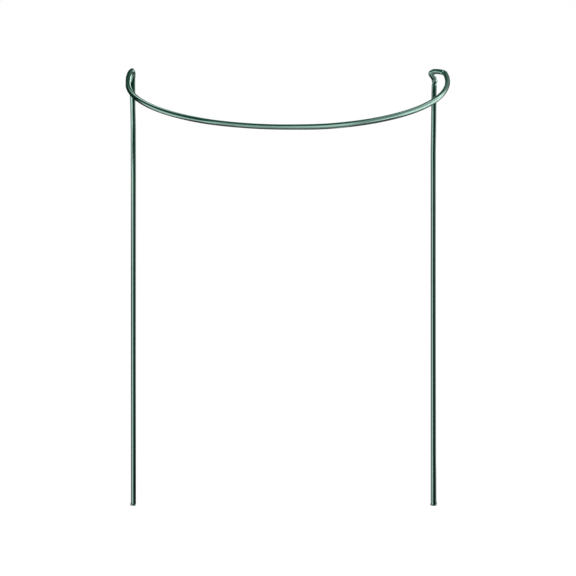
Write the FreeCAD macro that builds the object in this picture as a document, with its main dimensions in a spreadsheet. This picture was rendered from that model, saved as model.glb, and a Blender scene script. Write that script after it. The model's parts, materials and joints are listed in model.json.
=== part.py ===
import FreeCAD, Part

import math
import os

import Sketcher
from FreeCAD import Vector

# Half-round plant support: one steel wire in one plastic coating, bent to two legs and a bow.
# Frame: X across the bow, Y from the bow back to the legs, Z up, all in millimetres.
# The origin lies on the ground, in the plane of the legs, under the centre of the bow's main arc.
# The wire runs up the left leg, forward round the bow, across the hook and down the right leg.
# Every bend radius is that of the wire's centre line.

# Driving dimensions, in millimetres and degrees
DIMENSIONS = {
    "wire_diameter": 4.8,  # over the coating
    "coating_wall": 0.5,
    "overall_height": 419.2,  # from the feet to the top of the bow
    "leg_setback": 48.3,  # the legs stand this far behind the centre of the bow's main arc
    "bow_radius": 146.7,
    "flank_radius": 178.0,  # the bow's right flank is a little flatter than its main arc
    "flank_lead": 16.7,  # the flank begins this angle before the right end of the half circle
    "left_tail_lean": 3.3,  # the straight tail on the left leans in by this angle
    "turn_in_angle": 18.0,  # the tail turns in further just before its corner
    "turn_in_radius": 15.0,
    "corner_radius": 5.0,  # from the left tail down into the left leg
    "hook_radius": 9.3,  # from the right flank across into the bridge of the hook
    "bridge_length": 0.9,  # straight stretch between the hook's two bends
    "tip_inner_radius": 0.6,  # inside of the tightest bend, where the bridge folds down
    "strand_length": 4.8,  # short straight strand from the tip down to the kink
    "strand_slant": 20.0,  # sideways slant of that strand
    "strand_lean": 28.0,  # backward lean of the same strand
    "kink_radius": 4.0,  # from the strand down into the right leg
    "lip_flare": 0.2,  # at each foot the coating's cut lip stands out by this much
    "lip_straight": 0.5,
    "lip_height": 1.4,
    "core_chamfer": 0.3,  # on the cut ends of the steel
}

# Sizes, angles and places that follow from the driving dimensions
PLACES = {
    "core_diameter": "=dimensions.wire_diameter - 2 * dimensions.coating_wall",
    "wire_radius": "=dimensions.wire_diameter / 2",
    "mid_wall_radius": "=(dimensions.wire_diameter - dimensions.coating_wall) / 2",
    "lip_radius": "=wire_radius + dimensions.lip_flare",
    "bow_level": "=dimensions.overall_height - wire_radius",
    # left end: tail, turn-in, corner and leg
    "left_heading": "=dimensions.left_tail_lean + dimensions.turn_in_angle",
    "left_azimuth": "=-90 - left_heading",
    "corner_turn": "=90",
    "corner_level": "=bow_level - dimensions.corner_radius",
    "corner_advance": "=dimensions.corner_radius * cos(left_heading)",
    "corner_shift": "=dimensions.corner_radius * sin(left_heading)",
    "heading_rise": "=sin(left_heading) - sin(dimensions.left_tail_lean)",
    "heading_run": "=cos(dimensions.left_tail_lean) - cos(left_heading)",
    "tail_front": "=dimensions.bow_radius * sin(dimensions.left_tail_lean)",
    "tail_side": "=dimensions.bow_radius * cos(dimensions.left_tail_lean)",
    "tail_room": "=dimensions.leg_setback - corner_advance - dimensions.turn_in_radius * heading_rise",
    "tail_length": "=(tail_room - tail_front) / cos(dimensions.left_tail_lean)",
    "tail_slope": "=sin(dimensions.left_tail_lean)",
    "tail_shift": "=tail_length * tail_slope + dimensions.turn_in_radius * heading_run",
    "corner_place": "=tail_shift - tail_side",
    "left_leg_place": "=corner_place + corner_shift",
    # hook: tip, strand and kink, where the strand leans back and to the side
    "tip_radius": "=wire_radius + dimensions.tip_inner_radius",
    "tip_turn": "=90 + dimensions.strand_slant",
    "tip_drop": "=tip_radius * (1 + sin(dimensions.strand_slant))",
    "tip_reach": "=tip_radius * cos(dimensions.strand_slant)",
    "strand_drop": "=tip_drop + dimensions.strand_length * cos(dimensions.strand_slant)",
    "strand_shift": "=dimensions.strand_length * sin(dimensions.strand_slant)",
    "side_part": "=sin(dimensions.strand_slant)",
    "back_part": "=cos(dimensions.strand_slant) * sin(dimensions.strand_lean)",
    "down_part": "=cos(dimensions.strand_slant) * cos(dimensions.strand_lean)",
    "kink_turn": "=acos(down_part) / 1 deg",
    "kink_reach": "=dimensions.kink_radius * (1 - down_part) / sin(kink_turn)",
    "kink_top": "=bow_level - strand_drop * cos(dimensions.strand_lean)",
    "kink_level": "=kink_top - dimensions.kink_radius * sin(kink_turn)",
    "right_azimuth": "=180 + atan2(back_part; side_part) / 1 deg",
    # right end: flank, hook and leg
    "bridge_advance": "=strand_drop * sin(dimensions.strand_lean) + kink_reach * back_part",
    "flank_excess": "=dimensions.flank_radius - dimensions.bow_radius",
    "flank_room": "=dimensions.flank_radius - dimensions.hook_radius",
    "hook_room": "=dimensions.leg_setback - bridge_advance - dimensions.hook_radius",
    "flank_end": "=asin((hook_room - flank_excess * sin(dimensions.flank_lead)) / flank_room) / 1 deg",
    "flank_turn": "=dimensions.flank_lead + flank_end",
    "bow_turn": "=180 + dimensions.left_tail_lean - dimensions.flank_lead",
    "hook_turn": "=90 - flank_end",
    "hook_centre": "=flank_room * cos(flank_end) - flank_excess * cos(dimensions.flank_lead)",
    "bridge_end": "=hook_centre - dimensions.bridge_length",
    "right_leg_place": "=bridge_end - tip_reach + strand_shift + kink_reach * side_part",
}

LEFT, RIGHT = 1, -1  # the sides to which a path turns
START, END, CENTRE = range(1, 4)  # the points of an edge, as a constraint numbers them
ACROSS_AXIS = -1  # a sketch's own axes are numbered from -1 down
UP_AXIS = ACROSS_AXIS - 1
ORIGIN = ACROSS_AXIS  # whose start point is the origin


def make_sheet(doc, name, cells):
    """A spreadsheet with one aliased cell for each entry."""
    sheet = doc.addObject("Spreadsheet::Sheet", name)
    for row, (alias, content) in enumerate(cells.items(), start=1):
        sheet.set(f"A{row}", alias)
        sheet.set(f"B{row}", str(content))
        sheet.setAlias(f"B{row}", alias)
    doc.recompute()
    return sheet


def cell(name):
    """The expression that names a cell."""
    return f"dimensions.{name}" if name in DIMENSIONS else f"places.{name}"


def size(doc, name):
    """The value in a cell."""
    return float(getattr(doc.dimensions if name in DIMENSIONS else doc.places, name))


def constrain(sketch, name, kind, *targets):
    """A constraint whose value follows the cell of the same name."""
    value = size(sketch.Document, name)
    first = math.radians(value) if kind == "Angle" else value
    index = sketch.addConstraint(Sketcher.Constraint(kind, *targets, first))
    sketch.renameConstraint(index, name)
    sketch.setExpression(f"Constraints.{name}", cell(name))


def make_sketch(body, name, role, x="0", y="0", z="0", axis="0; 0; 1", angle="0"):
    """A sketch on one of the body's own origin planes, shifted and turned by expressions."""
    sketch = body.newObject("Sketcher::SketchObject", name)
    plane = next(feature for feature in body.Origin.OriginFeatures if feature.Role == role)
    sketch.AttachmentSupport = [(plane, "")]
    sketch.MapMode = "FlatFace"
    turn = f"rotation(vector({axis}); {angle} * 1 deg)"
    sketch.setExpression("AttachmentOffset", f"placement(vector({x}; {y}; {z}); {turn})")
    return sketch


class Path:
    """Lines and arcs that run smoothly into each other, drawn into a sketch one after another.

    Their lengths, radii and angles are given by the names of their cells.
    """

    def __init__(self, sketch, x, y, heading):
        self.sketch = sketch
        self.place = Vector(x, y, 0)
        self.heading = math.radians(heading)
        self.last = None

    def add(self, geometry, first, last):
        """Adds an edge that is travelled from one of its ends to the other."""
        edge = self.sketch.addGeometry(geometry, False)
        if self.last is not None:
            self.sketch.addConstraint(Sketcher.Constraint("Tangent", *self.last, edge, first))
        self.last = (edge, last)
        return edge

    def forward(self, length):
        """Draws a straight stretch."""
        start = self.place
        along = Vector(math.cos(self.heading), math.sin(self.heading), 0)
        self.place = start + along * size(self.sketch.Document, length)
        edge = self.add(Part.LineSegment(start, self.place), START, END)
        constrain(self.sketch, length, "Distance", edge)
        return edge

    def bend(self, side, radius, turn):
        """Draws an arc to the left or the right of the way the path runs."""
        document = self.sketch.Document
        inward = Vector(-math.sin(self.heading), math.cos(self.heading), 0) * side
        centre = self.place + inward * size(document, radius)
        circle = Part.Circle(centre, Vector(0, 0, 1), size(document, radius))
        begin = math.atan2(-inward.y, -inward.x)
        finish = begin + side * math.radians(size(document, turn))
        arc = Part.ArcOfCircle(circle, min(begin, finish), max(begin, finish))
        ends = (START, END) if side == LEFT else (END, START)
        edge = self.add(arc, *ends)
        constrain(self.sketch, radius, "Radius", edge)
        constrain(self.sketch, turn, "Angle", edge)
        self.heading += finish - begin
        self.place = circle.value(finish)
        return edge


def draw_leg(body, side, height, bend):
    """A leg from its foot up through its top bend, in the upright plane in which it bends."""
    place, azimuth = cell(f"{side}_leg_place"), cell(f"{side}_azimuth")
    sketch = make_sketch(body, f"{side}_path", "XZ_Plane", x=place, axis="0; 1; 0", angle=azimuth)
    path = Path(sketch, 0, 0, 90)
    leg = path.forward(height)
    sketch.addConstraint(Sketcher.Constraint("Coincident", leg, START, ORIGIN, START))
    sketch.addConstraint(Sketcher.Constraint("Vertical", leg))
    path.bend(RIGHT, f"{bend}_radius", f"{bend}_turn")
    return sketch


def draw_bow(body):
    """The level path from the left corner round the bow and through the hook's first bend."""
    document = body.Document
    sketch = make_sketch(body, "bow_path", "XY_Plane", z=cell("bow_level"))
    start = (size(document, "corner_place"), -size(document, "corner_advance"))
    path = Path(sketch, *start, size(document, "left_azimuth"))
    path.bend(LEFT, "turn_in_radius", "turn_in_angle")
    path.forward("tail_length")
    bow = path.bend(LEFT, "bow_radius", "bow_turn")
    path.bend(LEFT, "flank_radius", "flank_turn")
    hook = path.bend(LEFT, "hook_radius", "hook_turn")
    sketch.addConstraint(Sketcher.Constraint("PointOnObject", bow, CENTRE, UP_AXIS))
    constrain(sketch, "leg_setback", "DistanceY", bow, CENTRE, ORIGIN, START)
    sketch.addConstraint(Sketcher.Constraint("Vertical", hook, END, hook, CENTRE))
    return sketch


def draw_tip(body):
    """The hook's bridge, its tight fold and the strand, in the plane in which the strand leans."""
    sketch = make_sketch(
        body, "tip_path", "XZ_Plane", y=cell("bow_level"), z=cell("bridge_advance"),
        axis="1; 0; 0", angle=cell("strand_lean"),
    )
    path = Path(sketch, size(body.Document, "hook_centre"), 0, 180)
    bridge = path.forward("bridge_length")
    path.bend(LEFT, "tip_radius", "tip_turn")
    path.forward("strand_length")
    sketch.addConstraint(Sketcher.Constraint("PointOnObject", bridge, START, ACROSS_AXIS))
    sketch.addConstraint(Sketcher.Constraint("Horizontal", bridge))
    constrain(sketch, "hook_centre", "DistanceX", ORIGIN, START, bridge, START)
    return sketch


def bind_spine(body):
    """The whole centre line, from the left foot to the right foot, as one wire."""
    paths = [
        draw_leg(body, "left", "corner_level", "corner"),
        draw_bow(body),
        draw_tip(body),
        draw_leg(body, "right", "kink_level", "kink"),
    ]
    body.Document.recompute()
    spine = body.newObject("PartDesign::SubShapeBinder", "centre_line")
    spine.Support = [(path, ("",)) for path in paths]
    body.Document.recompute()
    return spine


def sweep_wire(body, *diameters):
    """Sweeps one circle, or a ring between two, along the whole centre line."""
    spine = bind_spine(body)
    profile = make_sketch(body, "section", "XY_Plane", x=cell("left_leg_place"))
    for diameter in diameters:
        outline = Part.Circle(Vector(0, 0, 0), Vector(0, 0, 1), size(body.Document, diameter) / 2)
        ring = profile.addGeometry(outline, False)
        profile.addConstraint(Sketcher.Constraint("Coincident", ring, CENTRE, ORIGIN, START))
        constrain(profile, diameter, "Diameter", ring)
    body.Document.recompute()
    sweep = body.newObject("PartDesign::AdditivePipe", "sweep")
    sweep.Profile = profile
    sweep.Spine = (spine, [f"Edge{number}" for number, _ in enumerate(spine.Shape.Edges, start=1)])
    body.Document.recompute()
    return sweep


def add_lip(body, name, place):
    """The coating's cut end at one foot: a short ring that stands out and tapers back to the wire."""
    document = body.Document
    sketch = make_sketch(body, f"{name}_outline", "XZ_Plane", x=cell(place))
    inner, wire, outer = (size(document, f"{ring}_radius") for ring in ("mid_wall", "wire", "lip"))
    straight, height = size(document, "lip_straight"), size(document, "lip_height")
    corners = [(inner, 0), (outer, 0), (outer, straight), (wire, height), (inner, height)]
    points = [Vector(x, y, 0) for x, y in corners]
    lines = [Part.LineSegment(*ends) for ends in zip(points, points[1:] + points[:1])]
    sides = [sketch.addGeometry(line, False) for line in lines]
    for side, following in zip(sides, sides[1:] + sides[:1]):
        sketch.addConstraint(Sketcher.Constraint("Coincident", side, END, following, START))
    bottom, rim, taper, shoulder, inside = sides
    sketch.addConstraint(Sketcher.Constraint("PointOnObject", bottom, START, ACROSS_AXIS))
    for level in (bottom, shoulder):
        sketch.addConstraint(Sketcher.Constraint("Horizontal", level))
    for upright in (rim, inside):
        sketch.addConstraint(Sketcher.Constraint("Vertical", upright))
    constrain(sketch, "mid_wall_radius", "DistanceX", ORIGIN, START, bottom, START)
    constrain(sketch, "lip_radius", "DistanceX", ORIGIN, START, bottom, END)
    constrain(sketch, "wire_radius", "DistanceX", ORIGIN, START, taper, END)
    constrain(sketch, "lip_straight", "DistanceY", rim, START, rim, END)
    constrain(sketch, "lip_height", "DistanceY", ORIGIN, START, taper, END)
    document.recompute()
    lip = body.newObject("PartDesign::Revolution", name)
    lip.Profile = sketch
    lip.ReferenceAxis = (sketch, ["V_Axis"])
    lip.Angle = 360
    document.recompute()
    return lip


def make_coating(doc):
    """The plastic sleeve, with a lip at each foot."""
    body = doc.addObject("PartDesign::Body", "green_coating")
    sweep_wire(body, "wire_diameter", "core_diameter")
    add_lip(body, "left_lip", "left_leg_place")
    add_lip(body, "right_lip", "right_leg_place")
    return body


def make_core(doc):
    """The steel wire, with the burr taken off its two cut ends."""
    body = doc.addObject("PartDesign::Body", "steel_core")
    sweep = sweep_wire(body, "core_diameter")
    edges = enumerate(sweep.Shape.Edges, start=1)
    cut_ends = [f"Edge{number}" for number, edge in edges if abs(edge.BoundBox.ZMax) < edge.Tolerance]
    burr = body.newObject("PartDesign::Chamfer", "deburred_ends")
    burr.Base = (sweep, cut_ends)
    burr.setExpression("Size", cell("core_chamfer"))
    doc.recompute()
    return body


def check(doc, bodies):
    """Stops the script where an object has failed or a piece isn't one valid solid."""
    for item in doc.Objects:
        if "Invalid" in item.State or "Error" in item.State:
            raise RuntimeError(f"{item.Label} failed: {item.State}")
    for body in bodies:
        shape = body.Shape
        if shape.isNull() or not shape.isValid() or len(shape.Solids) != 1:
            raise RuntimeError(f"{body.Label} isn't one valid solid")


def main():
    os.makedirs("parts", exist_ok=True)
    doc = FreeCAD.newDocument("plant_support")
    make_sheet(doc, "dimensions", DIMENSIONS)
    make_sheet(doc, "places", PLACES)
    bodies = [make_core(doc), make_coating(doc)]
    for body in bodies:
        body.Label = body.Name
        body.Placement = FreeCAD.Placement()
    doc.recompute()
    check(doc, bodies)
    for body in bodies:
        body.Shape.exportStep(f"parts/{body.Label}.step")
        print(body.Label, "volume", round(body.Shape.Volume, 1), "mm3")


main()
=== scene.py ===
import json
import math

import bpy
import numpy as np
from mathutils import Matrix, Vector


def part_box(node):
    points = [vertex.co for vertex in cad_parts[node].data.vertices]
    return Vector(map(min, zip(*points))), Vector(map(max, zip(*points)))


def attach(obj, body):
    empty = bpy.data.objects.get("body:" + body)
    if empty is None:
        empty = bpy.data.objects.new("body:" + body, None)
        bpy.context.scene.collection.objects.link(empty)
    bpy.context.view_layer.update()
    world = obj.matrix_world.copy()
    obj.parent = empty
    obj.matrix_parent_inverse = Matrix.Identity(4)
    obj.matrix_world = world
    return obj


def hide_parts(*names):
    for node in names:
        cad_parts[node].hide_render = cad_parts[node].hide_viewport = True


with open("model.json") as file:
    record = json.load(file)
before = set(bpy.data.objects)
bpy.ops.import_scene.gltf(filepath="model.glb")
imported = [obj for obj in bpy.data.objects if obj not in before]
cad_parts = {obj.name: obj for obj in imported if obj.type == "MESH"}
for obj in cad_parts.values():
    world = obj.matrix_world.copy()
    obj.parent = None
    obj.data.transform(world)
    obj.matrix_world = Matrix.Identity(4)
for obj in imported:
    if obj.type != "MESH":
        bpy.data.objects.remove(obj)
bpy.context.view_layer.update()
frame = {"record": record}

# Metres and degrees, in the frame: X across the bow, Y from the bow back to the legs, Z up.
MM = 0.001
LOW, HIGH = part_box("green_coating")
MOUNTS = {mount["name"]: mount for mount in frame["record"]["mounts"]}

# The wire and its bends, as they were built
WIRE_RADIUS = MOUNTS["left_foot"]["dims"]["r_mm"] * MM
COATING_WALL = 0.5 * MM
CORE_RADIUS = WIRE_RADIUS - COATING_WALL
LEG_SETBACK = 48.3 * MM
FLANK_RADIUS = 178.0 * MM
FLANK_LEAD = 16.7
LEFT_TAIL_LEAN = 3.3
TURN_IN_ANGLE = 18.0
TURN_IN_RADIUS = 15.0 * MM
CORNER_RADIUS = 5.0 * MM
HOOK_RADIUS = 9.3 * MM
BRIDGE_LENGTH = 0.9 * MM
TIP_RADIUS = WIRE_RADIUS + 0.6 * MM
STRAND_LENGTH = 4.8 * MM
STRAND_SLANT = 20.0
STRAND_LEAN = 28.0
KINK_RADIUS = 4.0 * MM
LIP_FLARE = 0.2 * MM
LIP_STRAIGHT = 0.5 * MM
LIP_HEIGHT = 1.4 * MM
LIP_ROUNDING_SHARE = 0.4
CORE_CHAMFER = 0.3 * MM

BOW_LEVEL = HIGH.z - WIRE_RADIUS
BOW_RADIUS = -LOW.y - WIRE_RADIUS - LEG_SETBACK
LEFT_LEG_X = MOUNTS["left_foot"]["pos_m"][0]

# How the real wire strays from its drawing, all in millimetres
STRAY = [
    # how far along from the left foot, then how far across and back
    (315, 0.0, 0.0),
    (364, -0.15, 0.0),
    (386, -0.6, 0.0),
    (394, -1.0, 0.0),
    (408, -1.1, 0.0),
    (417, 0.15, 0.0),
    (421, 0.0, 0.0),
    (429, -0.6, 0.0),
    (437, -0.9, 0.0),
    (449, -0.6, 0.0),
    (463, -0.2, 0.0),
    (478, 0.0, 0.0),
    (530, 0.0, 1.0),
    (620, 0.0, 0.7),
    (655, 0.0, 1.4),
    (705, 0.0, 1.4),
    (730, 0.0, 0.0),
    (765, 0.0, 0.0),
    (800, 0.0, 0.6),
    (850, 0.0, 1.0),
    (950, 0.0, 0.0),
    (972, 0.0, 0.0),
    (981, 0.5, 0.0),
    (988, 0.65, 0.0),
    (998, 0.45, 0.0),
    (1012, 0.2, 0.0),
    (1032, 0.0, 0.0),
    (1056, -0.36, 0.0),
]
SWELL = [
    # how far along, then how much larger the wire's radius is
    (382, 0.0),
    (394, 0.2),
    (406, 0.2),
    (418, 0.0),
    (490, 0.0),
    (540, 0.15),
    (610, 0.15),
    (640, 0.06),
    (695, 0.06),
    (725, 0.25),
    (790, 0.32),
    (860, 0.32),
    (905, 0.0),
    (1150, 0.0),
    (1246, 0.06),
    (1322, 0.14),
    (1351, 0.16),
    (1364, 0.26),
    (1394, 0.28),
]
ROUNDING_REACH = 5  # how far to each side these lines are smoothed
ROUNDING_SAMPLES = 19
DENTS = [
    # mark, how far past it, reach along the wire, side it faces, sharpness, how far it stands out
    ("corner", 5.2, 2.4, (0, 0.47, 0.88), 3.0, 0.62),
    ("tip", 4.6, 2.2, (-1, 0, 0), 1.0, 0.6),
    ("strand", 2.0, 2.6, (-1, 0, 0), 1.5, 0.2),
    ("strand", 2.0, 2.6, (1, 0, 0), 1.5, 0.35),
    ("right_leg", 0.6, 1.1, (1, -0.1, 0.1), 2.5, 0.55),
    ("right_leg", 2.7, 1.3, (-1, 0, 0), 2.0, -0.4),
    ("right_leg", 2.9, 1.0, (1, 0, 0), 2.0, -0.25),
]
FOOT_DENTS = [
    # foot, height, reach along the wire, side it faces, sharpness, how far it stands out
    ("left", 0.5, 1.2, (-1, 0, 0), 1.5, 0.35),
    ("right", 0.5, 1.2, (-1, 0, 0), 1.5, 0.15),
    ("right", 1.2, 2.6, (1, 0, 0), 1.5, 0.45),
]
WRINKLE = 0.1  # inside the tight bends, where the coating is squeezed
WRINKLE_PITCH = 1.1
WRINKLE_BEND = 7.0  # a bend of this radius begins to wrinkle

# The rings of the mesh
SIDES = 56
CORE_SIDES = 40
RUN_STEP = 2.5 * MM  # between rings on a straight run
TURN_STEP = 3.0  # between rings on a tight bend
FINE_STEP = 0.25 * MM  # between rings at the hook and near the feet
FINE_LENGTH = 12 * MM  # how far that goes on below the kink and above a foot
LIP_RINGS = 5  # on the straight part of a lip
BORE_PLAY = 0.004 * MM  # keeps the coating's inside off the steel

# The slow unevenness of the coating
RIPPLE = 0.005 * MM
RIPPLE_SEED = 4
RIPPLE_WAVES = 14
RIPPLE_LENGTHS = (9, 60)  # the shortest and the longest wave, in millimetres
RIPPLE_LOBES = 4  # a wave has fewer bumps round the wire than this
RIPPLE_HEIGHT_SHARE = 0.9

# Noises: scales are in cells for each metre, and pairs are the lowest and highest value that count
MOST_NOISE = (0.3, 0.7)
CLOUD_SCALE = 45
GRAIN_SCALE = 900
HANDLED_SCALE = 7
HANDLED_NOISE = (0.35, 0.75)
PEEL_SCALE = 620
DIE_LINE_SCALE = 16
DIE_STRETCH = 4.0  # along the wire the die lines have this many times as many cells
SAW_SCALE = 900
SAW_STRETCH = 12.0
SPOT_SCALE = 1400
SPOT_NOISE = (0.45, 0.75)

# The coating
DEEP_GREEN = (0.0055, 0.043, 0.025, 1)
FRESH_GREEN = (0.0075, 0.052, 0.031, 1)
STRAINED_GREEN = (0.11, 0.2, 0.15, 1)
STRAINED_BENDS = (0.3, 0.9)  # the wire's radius over the bend's, where paling begins and where it is full
STRAINED_SHARE = 0.16
STRAINED_LEAST_SHARE = 0.4
GLOSS_ROUGHNESS = (0.05, 0.09)  # where the coating is untouched and where it is handled
GLOSS_IOR = 2.7  # more than a plastic has, so that dim cards show in it
GLOSS_TINT = (0.84, 1.0, 0.96, 1)
PEEL_DEPTH = 0.002 * MM
DIE_LINE_DEPTH = 0.001 * MM

# Dust on the feet, and each foot darker and rougher at its very bottom
DUST = (0.2, 0.21, 0.19, 1)
DUST_LEVELS = (0.3 * MM, 2.5 * MM)
DUST_SHARE = 0.2
DUST_NOISE = (0.35, 0.65)
DUST_ROUGHNESS = 0.6
# the colour that unevenly darkens the last millimetre of each foot
FOOT_BOTTOM_DARK = (0.03, 0.03, 0.026, 1)
FOOT_BOTTOM_LEVELS = (0.3 * MM, 0.8 * MM)
FOOT_BOTTOM_SHARE = 0.7
FOOT_BOTTOM_NOISE = (0.2, 0.5)
FOOT_BOTTOM_LEAST_SHARE = 0.6
FOOT_BOTTOM_ROUGHNESS = 0.4

# The steel
STEEL = (0.45, 0.45, 0.46, 1)
TARNISH = (0.3, 0.26, 0.22, 1)
TARNISH_SHARE = 0.6
STEEL_ROUGHNESS = (0.24, 0.5)
SAW_DEPTH = 0.01 * MM

# The studio
STUDIO_CENTRE = Vector((0, -70 * MM, 250 * MM))
FLOOR_REACH = 3.0
FLOOR_BOUNCE = 0.2  # the floor's colour as it lights the object
FLOOR_SHADE = 0.2  # the part of the floor's seen colour that a shadow takes away
FLOOR_GLOW = 0.96  # the part that stays
WORLD_LIGHT = 0.15
KEY_LAMP_ELEVATION = 73
KEY_LAMP_DISTANCE = 0.75
KEY_LAMP_SIZE = 0.4
KEY_LAMP_POWER = 6.0
CLOTH_COLOUR = (0.75, 1.0, 0.88, 1)
CLOTH_RADIANCE = 0.012
SURROUND_DISTANCE = 5.0
SURROUND_TURNS = 48
SURROUND_RISES = 24
FLAG_DISTANCE = 0.4
FLAG_TURNS = 16
FLAGS = [
    # name, the leg that it keeps the cards' light from, azimuths, levels on the leg in millimetres
    ("left_flag", "left_foot", (-110, -8), (391, 424)),
    ("right_flag", "right_foot", (-72, -8), (389, 412)),
]
CARD_STEP = 6.0  # degrees between the points of a card
CARD_COLOUR = (0.8, 1.0, 0.91, 1)
CARDS = [
    # name, distance, azimuths, elevations, radiance, how far the fades reach in across and up
    ("front_card", 0.5, (-60, 53), (1.5, 53), 1.4, (0.15, 0.12)),
    ("right_card", 0.5, (-25, 125), (2, 54), 1.0, (0.35, 0.1)),
    ("strand_card", 0.75, (-15, 125), (54, 61), 1.4, (0.45, 0.1)),
    ("hook_card", 0.55, (0, 8), (-20, -10), 1.1, (0.25, 0.2)),
    ("low_left_card", 2.4, (-68, -8), (-23, -12.5), 2.6, (0.3, 0.1)),
    ("low_right_card", 2.5, (-130, 150), (-74, -22), 0.8, (0.5, 0.1)),
    ("under_card", 0.65, (50, 125), (-68, -60), 2.2, (0.1, 0.45)),
    ("left_foot_card", 2.5, (-130, -70), (-43, -11), 2.5, (0.5, 0.5)),
    ("left_rim_card", 0.7, (-123, -40), (-18, 32), 2.6, (0.2, 0.45)),
    ("right_rim_card", 1.0, (80, 145), (-31, 43), 1.0, (0.2, 0.1)),
    ("rim_line_card", 2.5, (47, 158), (-9, 13), 2.6, (0.25, 0.1)),
    ("back_left_card", 0.9, (-168, -142), (23, 57), 2.6, (0.2, 0.45)),
    ("back_right_card", 1.3, (134, 150), (14, 66), 2.6, (0.15, 0.25)),
    ("back_card", 0.95, (80, 190), (6, 29), 0.4, (0.35, 0.15)),
    ("back_low_card", 1.6, (167, 179), (-12, 5), 2.5, (0.1, 0.1)),
    ("back_line_card", 1.5, (144, 161), (-20.5, -14.5), 0.9, (0.1, 0.1)),
]

# The camera
CAMERA_ELEVATION = 15.71
CAMERA_DISTANCE = 3.0
PHOTO_WIDTH = 576
PHOTO_POINT = 0.9225 * MM  # what one point of the photo covers on the object
AIM = Vector((0.75 * MM, 0, 208.04 * MM))


def sine(angle):
    return math.sin(math.radians(angle))


def cosine(angle):
    return math.cos(math.radians(angle))


class Route:
    """A line of straight runs and arcs that flow into each other, with rings set along it."""

    def __init__(self, start, heading, side):
        self.heading = Vector(heading)
        self.side = Vector(side)
        self.along = 0.0
        self.rings = [(0.0, Vector(start), self.heading.copy(), self.side.copy())]
        self.marks = {}

    def place(self):
        return self.rings[-1][1]

    def mark(self, name):
        """Remembers how far along the line this point is."""
        self.marks[name] = self.along

    def add(self, length, place):
        self.along += length
        self.rings.append((self.along, place, self.heading.copy(), self.side.copy()))

    def run(self, length, step=RUN_STEP):
        count = max(1, math.ceil(length / step))
        for _ in range(count):
            self.add(length / count, self.place() + self.heading * (length / count))

    def bend(self, towards, radius, angle):
        """An arc that turns towards a direction, by an angle in degrees."""
        towards = Vector(towards)
        inward = (towards - self.heading * towards.dot(self.heading)).normalized()
        axis = self.heading.cross(inward)
        centre = self.place() + inward * radius
        arm = -inward
        step = min(TURN_STEP, math.degrees(RUN_STEP / radius))
        count = max(2, math.ceil(angle / step))
        turn = Matrix.Rotation(math.radians(angle) / count, 3, axis)
        for _ in range(count):
            arm = turn @ arm
            self.heading = turn @ self.heading
            self.side = turn @ self.side
            self.add(math.radians(angle) * radius / count, centre + arm * radius)


def leftward(heading):
    """The level direction to the left of a heading."""
    return Vector((0, 0, 1)).cross(heading)


def wire_route():
    """The wire's centre line, from the left foot over the bow and the hook to the right foot."""
    left_heading = LEFT_TAIL_LEAN + TURN_IN_ANGLE
    turn_rise = TURN_IN_RADIUS * (sine(left_heading) - sine(LEFT_TAIL_LEAN))
    tail_room = LEG_SETBACK - CORNER_RADIUS * cosine(left_heading) - turn_rise
    tail_length = (tail_room - BOW_RADIUS * sine(LEFT_TAIL_LEAN)) / cosine(LEFT_TAIL_LEAN)

    strand_back = cosine(STRAND_SLANT) * sine(STRAND_LEAN)
    strand_down = cosine(STRAND_SLANT) * cosine(STRAND_LEAN)
    kink_turn = math.degrees(math.acos(strand_down))
    kink_reach = KINK_RADIUS * (1 - strand_down) / sine(kink_turn)
    strand_drop = TIP_RADIUS * (1 + sine(STRAND_SLANT)) + STRAND_LENGTH * cosine(STRAND_SLANT)
    bridge_advance = strand_drop * sine(STRAND_LEAN) + kink_reach * strand_back

    flank_excess = FLANK_RADIUS - BOW_RADIUS
    hook_room = LEG_SETBACK - bridge_advance - HOOK_RADIUS
    flank_room = FLANK_RADIUS - HOOK_RADIUS
    flank_end = math.degrees(math.asin((hook_room - flank_excess * sine(FLANK_LEAD)) / flank_room))

    route = Route((LEFT_LEG_X, 0, 0), (0, 0, 1), (1, 0, 0))
    route.run(LIP_HEIGHT, LIP_STRAIGHT / LIP_RINGS)
    route.run(FINE_LENGTH - LIP_HEIGHT, FINE_STEP)
    route.run(BOW_LEVEL - CORNER_RADIUS - FINE_LENGTH)
    route.mark("corner")
    route.bend((-sine(left_heading), -cosine(left_heading), 0), CORNER_RADIUS, 90)
    route.mark("corner_end")
    route.bend(leftward(route.heading), TURN_IN_RADIUS, TURN_IN_ANGLE)
    route.run(tail_length)
    route.bend(leftward(route.heading), BOW_RADIUS, 180 + LEFT_TAIL_LEAN - FLANK_LEAD)
    route.bend(leftward(route.heading), FLANK_RADIUS, FLANK_LEAD + flank_end)
    route.mark("hook")
    route.bend(leftward(route.heading), HOOK_RADIUS, 90 - flank_end)
    route.run(BRIDGE_LENGTH, FINE_STEP)
    route.mark("tip")
    route.bend((0, sine(STRAND_LEAN), -cosine(STRAND_LEAN)), TIP_RADIUS, 90 + STRAND_SLANT)
    route.mark("strand")
    route.run(STRAND_LENGTH, FINE_STEP)
    route.mark("kink")
    route.bend((0, 0, -1), KINK_RADIUS, kink_turn)
    route.mark("right_leg")
    route.run(FINE_LENGTH, FINE_STEP)
    route.run(route.place().z - FINE_LENGTH)
    route.run(route.place().z - LIP_HEIGHT, FINE_STEP)
    route.run(route.place().z, LIP_STRAIGHT / LIP_RINGS)
    route.mark("end")
    return route


def rounded_line(along, stations):
    """Values through a few stations along the wire, in metres, with the corners between them rounded."""
    places, *columns = (np.array(column) * MM for column in zip(*stations))
    shifts = np.linspace(-ROUNDING_REACH * MM, ROUNDING_REACH * MM, ROUNDING_SAMPLES)
    lines = []
    for values in columns:
        lines.append(np.mean([np.interp(along + shift, places, values) for shift in shifts], axis=0))
    return np.stack(lines, axis=1)


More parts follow.
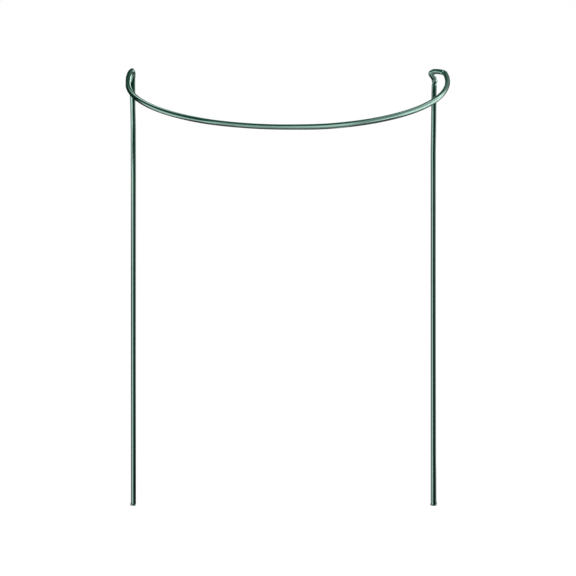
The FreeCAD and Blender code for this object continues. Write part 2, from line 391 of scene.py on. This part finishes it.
class Tube:
    """Rings of points about a route, with what is needed to shape them."""

    def __init__(self, route, sides):
        self.route = route
        self.sides = sides
        self.along = np.array([ring[0] for ring in route.rings])
        self.centres, tangents, side = (np.array([ring[i] for ring in route.rings]) for i in (1, 2, 3))
        self.angles = np.arange(sides) * (2 * math.pi / sides)
        other = np.cross(tangents, side)
        self.outward = (
            np.cos(self.angles)[None, :, None] * side[:, None, :]
            + np.sin(self.angles)[None, :, None] * other[:, None, :]
        )
        self.curving = np.gradient(tangents, self.along, axis=0)
        self.swell = rounded_line(self.along, SWELL)
        self.centres[:, :2] += rounded_line(self.along, STRAY)
        self.centres += self.sink(tangents)

    def sink(self, tangents):
        """Lowers a thick stretch, so that its top stays level, and moves an upright one to the right."""
        upright = np.abs(tangents[:, 2:])
        right, up = np.array([1, 0, 0]), np.array([0, 0, 1])
        return self.swell * (upright * right - (1 - upright) * up)

    def near(self, place, reach):
        """1 at a place along the wire, falling to 0 around it."""
        return np.exp(-(((self.along - place) / reach) ** 2))[:, None]

    def facing(self, direction, power):
        """How far each point faces a direction, from 0 to 1."""
        towards = np.array(Vector(direction).normalized())
        return np.clip(self.outward @ towards, 0, 1) ** power

    def squeezed(self):
        """How much each point is squeezed on the inside of a tight bend, from 0 to 1."""
        inward = np.einsum("rsa,ra->rs", self.outward, self.curving) * WRINKLE_BEND * MM - 1
        return np.clip(inward, 0, 1)

    def points(self, radii):
        """The skin's points, kept inside the box of the part."""
        points = self.centres[:, None, :] + self.outward * radii[:, :, None]
        return np.clip(points, np.array(LOW), np.array(HIGH))


def skin_mesh(name, tube, outer, inner=None):
    """A closed mesh over the rings: an outer skin, and an inner one or flat ends."""
    count, sides = len(tube.along), tube.sides
    skins = [tube.points(outer)]
    if inner is not None:
        skins.append(tube.points(inner)[::-1])
    points = np.concatenate(skins).reshape(-1, 3)
    rows = len(points) // sides
    faces, smooth = [], []
    for row in range(rows if inner is not None else rows - 1):
        following = (row + 1) % rows
        for side in range(sides):
            beside = (side + 1) % sides
            faces.append((
                row * sides + side, row * sides + beside,
                following * sides + beside, following * sides + side,
            ))
            smooth.append(row % count != count - 1)
    if inner is None:
        faces.append(tuple(reversed(range(sides))))
        faces.append(tuple((rows - 1) * sides + side for side in range(sides)))
        smooth += [False, False]
    mesh = bpy.data.meshes.new(name)
    mesh.from_pydata(points, [], faces)
    mesh.polygons.foreach_set("use_smooth", smooth)
    mesh.update()
    add_wire_places(mesh, tube, rows)
    return add_object(name, mesh)


def add_wire_places(mesh, tube, rows):
    """Keeps each point's place round and along the wire, its distance from an end, and the bend there."""
    around = np.tile(tube.angles, rows)
    along = np.repeat(np.concatenate([tube.along, tube.along[::-1]])[:rows], tube.sides)
    bend = np.linalg.norm(tube.curving, axis=1) * WIRE_RADIUS
    bend = np.repeat(np.concatenate([bend, bend[::-1]])[:rows], tube.sides)
    add_vectors(mesh, "wire", np.cos(around), np.sin(around), along)
    add_vectors(mesh, "end_and_bend", np.minimum(along, tube.route.marks["end"] - along), bend, 0 * bend)


def add_object(name, data):
    """A new object in the scene, with its mesh, lamp or camera."""
    thing = bpy.data.objects.new(name, data)
    bpy.context.scene.collection.objects.link(thing)
    return thing


def add_vectors(mesh, name, *columns):
    """Keeps three values for each point of a mesh, for its material to read."""
    attribute = mesh.attributes.new(name, "FLOAT_VECTOR", "POINT")
    attribute.data.foreach_set("vector", np.stack(columns, axis=1).astype(np.float32).ravel())


def ripple(tube, seed):
    """Slow unevenness along and around the coating, from 0 to 1."""
    chance = np.random.default_rng(seed)
    total = np.zeros((len(tube.along), tube.sides))
    for _ in range(RIPPLE_WAVES):
        length = chance.uniform(*RIPPLE_LENGTHS) * MM
        lobes = chance.integers(0, RIPPLE_LOBES)
        phase = chance.uniform(0, 2 * math.pi)
        spin = chance.uniform(0, 2 * math.pi)
        swell = np.sin(2 * math.pi * tube.along / length + phase)[:, None]
        total += swell * np.cos(lobes * tube.angles + spin)[None, :]
    return 0.5 + 0.5 * np.clip(total / (RIPPLE_HEIGHT_SHARE * math.sqrt(RIPPLE_WAVES)), -1, 1)


def lip(height):
    """How far the coating's cut lip stands out at each height above a foot."""
    fade = np.clip((height - LIP_STRAIGHT) / (LIP_HEIGHT - LIP_STRAIGHT), 0, 1)
    rounded = np.clip(1 - height / (LIP_STRAIGHT / LIP_RINGS), 0, 1)
    return LIP_FLARE * (0.5 + 0.5 * np.cos(math.pi * fade) - LIP_ROUNDING_SHARE * rounded ** 2)


def dent_places(end, marks):
    """The dents with their places along the wire, in metres."""
    for mark, offset, *dent in DENTS:
        yield marks[mark] + offset * MM, *dent
    for foot, level, *dent in FOOT_DENTS:
        yield level * MM if foot == "left" else end - level * MM, *dent


def make_coating(route):
    """The plastic sleeve, with its lips, dents and wrinkles."""
    tube = Tube(route, SIDES)
    end = route.marks["end"]
    radii = WIRE_RADIUS + tube.swell - RIPPLE * ripple(tube, RIPPLE_SEED)
    radii += lip(tube.along)[:, None] + lip(end - tube.along)[:, None]
    for place, reach, side, power, height in dent_places(end, route.marks):
        radii += height * MM * tube.near(place, reach * MM) * tube.facing(side, power)
    wave = np.cos(2 * math.pi * tube.along / (WRINKLE_PITCH * MM))[:, None]
    radii += WRINKLE * MM * tube.squeezed() * (wave - 1) / 2
    inner = np.full_like(radii, CORE_RADIUS + BORE_PLAY)
    return skin_mesh("green_sleeve", tube, radii, inner)


def make_core(route):
    """The steel wire inside, with its small chamfers."""
    tube = Tube(route, CORE_SIDES)
    height = np.minimum(tube.along, route.marks["end"] - tube.along)
    radii = CORE_RADIUS - np.clip(CORE_CHAMFER - height, 0, None)
    return skin_mesh("steel_wire", tube, np.repeat(radii[:, None], CORE_SIDES, axis=1))


def add_node(tree, kind, inputs=None, **settings):
    """A node with its settings, whose inputs are given as values or as the sockets to link."""
    node = tree.nodes.new(kind)
    for name, value in settings.items():
        setattr(node, name, value)
    for key, value in (inputs or {}).items():
        if isinstance(value, bpy.types.NodeSocket):
            tree.links.new(value, node.inputs[key])
        else:
            node.inputs[key].default_value = value
    return node


def new_material(name):
    """An empty material: its node tree and its output."""
    material = bpy.data.materials.new(name)
    material.use_nodes = True
    tree = material.node_tree
    tree.nodes.remove(tree.nodes["Principled BSDF"])
    return material, tree, tree.nodes["Material Output"]


def noise(tree, place, scale, detail, roughness=0.5):
    """A noise from 0 to 1, with a scale in cells for each metre."""
    inputs = {"Vector": place, "Scale": scale, "Detail": detail, "Roughness": roughness}
    return add_node(tree, "ShaderNodeTexNoise", inputs).outputs["Fac"]


def spread(tree, value, given, wanted=(0, 1)):
    """Maps a range of values onto another, and stays at its ends outside it."""
    inputs = {
        "Value": value,
        "From Min": given[0], "From Max": given[1],
        "To Min": wanted[0], "To Max": wanted[1],
    }
    return add_node(tree, "ShaderNodeMapRange", inputs).outputs[0]


def maths(tree, operation, first, second):
    """One sum, product or the like of two values."""
    return add_node(tree, "ShaderNodeMath", {0: first, 1: second}, operation=operation).outputs[0]


def blended(tree, share, first, second):
    """A colour between two others."""
    mix = add_node(tree, "ShaderNodeMix", data_type="RGBA")
    for socket, value in zip((mix.inputs[0], mix.inputs[6], mix.inputs[7]), (share, first, second)):
        if isinstance(value, bpy.types.NodeSocket):
            tree.links.new(value, socket)
        else:
            socket.default_value = value
    return mix.outputs[2]


def wire_coordinates(tree):
    """Places on the wire: in space, drawn out along the wire, and how near an end or a bend is."""
    space = add_node(tree, "ShaderNodeTexCoord").outputs["Object"]
    wire = add_node(tree, "ShaderNodeAttribute", attribute_name="wire").outputs["Vector"]
    stretch = {"Vector": wire, "Scale": (1, 1, DIE_STRETCH)}
    drawn = add_node(tree, "ShaderNodeMapping", stretch).outputs[0]
    end_and_bend = add_node(tree, "ShaderNodeAttribute", attribute_name="end_and_bend").outputs["Vector"]
    end_and_bend = add_node(tree, "ShaderNodeSeparateXYZ", {0: end_and_bend})
    return space, drawn, end_and_bend.outputs[0], end_and_bend.outputs[1]


def relief_of(tree, layers):
    """A surface with fine relief: each layer is a noise and its depth."""
    normal = None
    for height, depth in layers:
        inputs = {"Height": height, "Distance": depth, "Strength": 1.0}
        if normal is not None:
            inputs["Normal"] = normal
        normal = add_node(tree, "ShaderNodeBump", inputs).outputs[0]
    return normal


def coating_material():
    """Glossy dark green plastic, drawn over the wire: die lines, orange peel, dust and strain marks."""
    material, tree, output = new_material("green_plastic")
    space, drawn, height, bend = wire_coordinates(tree)

    clouds = noise(tree, space, CLOUD_SCALE, 3)
    grain = noise(tree, space, GRAIN_SCALE, 4, 0.6)
    green = blended(tree, spread(tree, clouds, MOST_NOISE), DEEP_GREEN, FRESH_GREEN)

    strained = spread(tree, bend, STRAINED_BENDS, (0, STRAINED_SHARE))
    patches = spread(tree, grain, MOST_NOISE, (STRAINED_LEAST_SHARE, 1))
    green = blended(tree, maths(tree, "MULTIPLY", strained, patches), green, STRAINED_GREEN)

    dusty = spread(tree, height, DUST_LEVELS, (DUST_SHARE, 0))
    dusty = maths(tree, "MULTIPLY", dusty, spread(tree, grain, DUST_NOISE))
    # each foot made darker at its very bottom
    darkened_bottom = spread(tree, height, FOOT_BOTTOM_LEVELS, (FOOT_BOTTOM_SHARE, 0))
    darkened_bottom = maths(tree, "MULTIPLY", darkened_bottom, spread(tree, grain, FOOT_BOTTOM_NOISE, (FOOT_BOTTOM_LEAST_SHARE, 1)))
    colour = blended(tree, darkened_bottom, blended(tree, dusty, green, DUST), FOOT_BOTTOM_DARK)

    handled = noise(tree, drawn, HANDLED_SCALE, 4, 0.65)
    roughness = spread(tree, handled, HANDLED_NOISE, GLOSS_ROUGHNESS)
    roughness = maths(tree, "ADD", roughness, maths(tree, "MULTIPLY", dusty, DUST_ROUGHNESS))
    roughness = maths(tree, "ADD", roughness, maths(tree, "MULTIPLY", darkened_bottom, FOOT_BOTTOM_ROUGHNESS))

    peel = noise(tree, space, PEEL_SCALE, 2)
    die_lines = noise(tree, drawn, DIE_LINE_SCALE, 2)
    shader = add_node(tree, "ShaderNodeBsdfPrincipled", {
        "Base Color": colour, "Roughness": roughness, "IOR": GLOSS_IOR, "Specular Tint": GLOSS_TINT,
        "Normal": relief_of(tree, [(peel, PEEL_DEPTH), (die_lines, DIE_LINE_DEPTH)]),
    })
    tree.links.new(shader.outputs[0], output.inputs["Surface"])
    return material


def steel_material():
    """Cut and deburred steel: bright, with fine saw lines and a little tarnish."""
    material, tree, output = new_material("cut_steel")
    space = add_node(tree, "ShaderNodeTexCoord").outputs["Object"]
    stretch = {"Vector": space, "Scale": (1, SAW_STRETCH, 1)}
    sawn = add_node(tree, "ShaderNodeMapping", stretch).outputs[0]
    lines = noise(tree, sawn, SAW_SCALE, 5, 0.7)
    spots = noise(tree, space, SPOT_SCALE, 4, 0.6)
    tarnished = spread(tree, spots, SPOT_NOISE, (0, TARNISH_SHARE))
    shader = add_node(tree, "ShaderNodeBsdfPrincipled", {
        "Base Color": blended(tree, tarnished, STEEL, TARNISH), "Metallic": 1.0,
        "Roughness": spread(tree, lines, MOST_NOISE, STEEL_ROUGHNESS),
        "Normal": relief_of(tree, [(lines, SAW_DEPTH)]),
    })
    tree.links.new(shader.outputs[0], output.inputs["Surface"])
    return material


def is_seen(tree):
    """1 for what the camera sees, straight or in a reflection or through glass, and 0 for other rays."""
    path = add_node(tree, "ShaderNodeLightPath")
    seen = path.outputs["Is Camera Ray"]
    for other in ("Is Glossy Ray", "Is Transmission Ray"):
        seen = maths(tree, "MAXIMUM", seen, path.outputs[other])
    return seen


def grey(value):
    return (value, value, value, 1)


def make_floor():
    """A pale floor that reads as white and keeps the object's shadow."""
    corners = [(-1, -1), (1, -1), (1, 1), (-1, 1)]
    mesh = bpy.data.meshes.new("floor")
    mesh.from_pydata([(x * FLOOR_REACH, y * FLOOR_REACH, 0) for x, y in corners], [], [(0, 1, 2, 3)])
    floor = add_object("floor", mesh)
    floor.visible_glossy = False  # the coating reflects the studio, not the floor
    material, tree, output = new_material("pale_floor")
    plain = add_node(tree, "ShaderNodeBsdfDiffuse", {"Color": grey(FLOOR_BOUNCE)})
    shaded = add_node(tree, "ShaderNodeBsdfDiffuse", {"Color": grey(FLOOR_SHADE)})
    glow = add_node(tree, "ShaderNodeEmission", {"Strength": FLOOR_GLOW})
    white = add_node(tree, "ShaderNodeAddShader", {0: shaded.outputs[0], 1: glow.outputs[0]})
    choice = add_node(
        tree, "ShaderNodeMixShader", {0: is_seen(tree), 1: plain.outputs[0], 2: white.outputs[0]}
    )
    tree.links.new(choice.outputs[0], output.inputs["Surface"])
    mesh.materials.append(material)


def make_world():
    """White where it is seen, and a plain soft light elsewhere."""
    world = bpy.data.worlds.new("studio")
    world.use_nodes = True
    tree = world.node_tree
    light = tree.nodes["Background"]
    light.inputs["Color"].default_value = grey(1)
    light.inputs["Strength"].default_value = WORLD_LIGHT
    white = add_node(tree, "ShaderNodeBackground", {"Color": grey(1), "Strength": 1.0})
    choice = add_node(
        tree, "ShaderNodeMixShader", {0: is_seen(tree), 1: light.outputs[0], 2: white.outputs[0]}
    )
    tree.links.new(choice.outputs[0], tree.nodes["World Output"].inputs["Surface"])
    bpy.context.scene.world = world


def towards(azimuth, elevation):
    """A direction: azimuth 0 is the camera's side, 90 the right, and elevation is above the level."""
    level = cosine(elevation)
    return Vector((sine(azimuth) * level, -cosine(azimuth) * level, sine(elevation)))


def only_reflected(card):
    """A studio card that shows in reflections and nowhere else."""
    for sense in ("camera", "diffuse", "transmission", "volume_scatter", "shadow"):
        setattr(card, "visible_" + sense, False)


def grid_mesh(name, points, columns, joined=False):
    """A mesh over rows of points, whose last column may be joined to its first."""
    row_length = columns if joined else columns + 1
    faces = []
    for row in range(len(points) // row_length - 1):
        for column in range(columns):
            here, beside = row * row_length + column, row * row_length + (column + 1) % row_length
            faces.append((here, beside, beside + row_length, here + row_length))
    mesh = bpy.data.meshes.new(name)
    mesh.from_pydata(points, [], faces)
    return mesh


def fading(tree, radiance, softness):
    """A brightness that fades towards the edges of a card."""
    place = add_node(tree, "ShaderNodeAttribute", attribute_name="spread").outputs["Vector"]
    parts = add_node(tree, "ShaderNodeSeparateXYZ", {0: place})
    brightness = radiance
    for axis, reach in enumerate(softness):
        inward = maths(tree, "PINGPONG", parts.outputs[axis], 0.5)  # 0 at the edges, 0.5 in the middle
        fade = add_node(
            tree, "ShaderNodeMapRange", {"Value": inward, "From Max": reach},
            interpolation_type="SMOOTHSTEP",
        )
        brightness = maths(tree, "MULTIPLY", fade.outputs[0], brightness)
    return brightness


def make_card(name, distance, azimuths, elevations, radiance, softness):
    """A glowing card, bent round the object's middle, whose brightness fades towards its edges."""
    columns = max(2, math.ceil((azimuths[1] - azimuths[0]) / CARD_STEP))
    rows = max(2, math.ceil((elevations[1] - elevations[0]) / CARD_STEP))
    points = []
    for elevation in np.linspace(*elevations, rows + 1):
        for azimuth in np.linspace(*azimuths, columns + 1):
            points.append(STUDIO_CENTRE + towards(azimuth, elevation) * distance)
    mesh = grid_mesh(name, points, columns)
    across = np.tile(np.linspace(0, 1, columns + 1), rows + 1)
    up = np.repeat(np.linspace(0, 1, rows + 1), columns + 1)
    add_vectors(mesh, "spread", across, up, 0 * up)
    material, tree, output = new_material(name)
    glow = add_node(
        tree, "ShaderNodeEmission", {"Color": CARD_COLOUR, "Strength": fading(tree, radiance, softness)}
    )
    clear = add_node(tree, "ShaderNodeBsdfTransparent")
    total = add_node(tree, "ShaderNodeAddShader", {0: glow.outputs[0], 1: clear.outputs[0]})
    tree.links.new(total.outputs[0], output.inputs["Surface"])
    mesh.materials.append(material)
    only_reflected(add_object(name, mesh))


def make_flag(name, foot, azimuths, levels):
    """A strip of the dark cloth, well away from the object, that shows in a short part of a leg."""
    middle = Vector(MOUNTS[foot]["pos_m"])
    drop = FLAG_DISTANCE * sine(CAMERA_ELEVATION) / cosine(CAMERA_ELEVATION)
    points = [
        middle + towards(azimuth, 0) * FLAG_DISTANCE + Vector((0, 0, level * MM - drop))
        for level in levels for azimuth in np.linspace(*azimuths, FLAG_TURNS + 1)
    ]
    mesh = grid_mesh(name, points, FLAG_TURNS)
    mesh.materials.append(dark_cloth())
    only_reflected(add_object(name, mesh))


def dark_cloth():
    """Cloth that gives hardly any light."""
    material, tree, output = new_material("dark_cloth")
    cloth = add_node(tree, "ShaderNodeEmission", {"Color": CLOTH_COLOUR, "Strength": CLOTH_RADIANCE})
    tree.links.new(cloth.outputs[0], output.inputs["Surface"])
    return material


def make_surround():
    """Dark cloth all round the studio, as the coating reflects it."""
    points = []
    for rise in range(SURROUND_RISES + 1):
        elevation = 180 * rise / SURROUND_RISES - 90
        for turn in range(SURROUND_TURNS):
            out = towards(360 * turn / SURROUND_TURNS, elevation)
            points.append(STUDIO_CENTRE + out * SURROUND_DISTANCE)
    mesh = grid_mesh("dark_surround", points, SURROUND_TURNS, joined=True)
    mesh.validate()
    mesh.materials.append(dark_cloth())
    only_reflected(add_object("dark_surround", mesh))


def place_facing(thing, target, out, distance):
    """Puts a lamp or the camera out from a target, and turns it to face it."""
    thing.location = target + out * distance
    thing.rotation_mode = "QUATERNION"
    thing.rotation_quaternion = (-out).to_track_quat("-Z", "Y")


def make_key_lamp():
    """A soft lamp, kept out of the reflections, which show the cards."""
    lamp = bpy.data.lights.new("key_lamp", "AREA")
    lamp.shape = "DISK"
    lamp.size = KEY_LAMP_SIZE
    lamp.energy = KEY_LAMP_POWER
    holder = add_object("key_lamp", lamp)
    holder.visible_glossy = False
    place_facing(holder, STUDIO_CENTRE, towards(0, KEY_LAMP_ELEVATION), KEY_LAMP_DISTANCE)


def make_studio():
    make_world()
    make_floor()
    make_surround()
    for card in CARDS:
        make_card(*card)
    for flag in FLAGS:
        make_flag(*flag)
    make_key_lamp()


def make_camera():
    """A camera with a parallel view, which is how the photo looks."""
    camera = bpy.data.cameras.new("camera")
    camera.type = "ORTHO"
    camera.ortho_scale = PHOTO_WIDTH * PHOTO_POINT
    holder = add_object("camera", camera)
    place_facing(holder, AIM, towards(0, CAMERA_ELEVATION), CAMERA_DISTANCE)
    bpy.context.scene.camera = holder


bpy.context.scene.view_settings.view_transform = "Standard"
make_camera()
make_studio()
route = wire_route()
coating = make_coating(route)
core = make_core(route)
for piece, node, slot, material in (
    (coating, "green_coating", "green_plastic", coating_material()),
    (core, "steel_core", "cut_steel", steel_material()),
):
    piece.data.materials.append(material)
    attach(piece, "root")
    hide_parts(node)
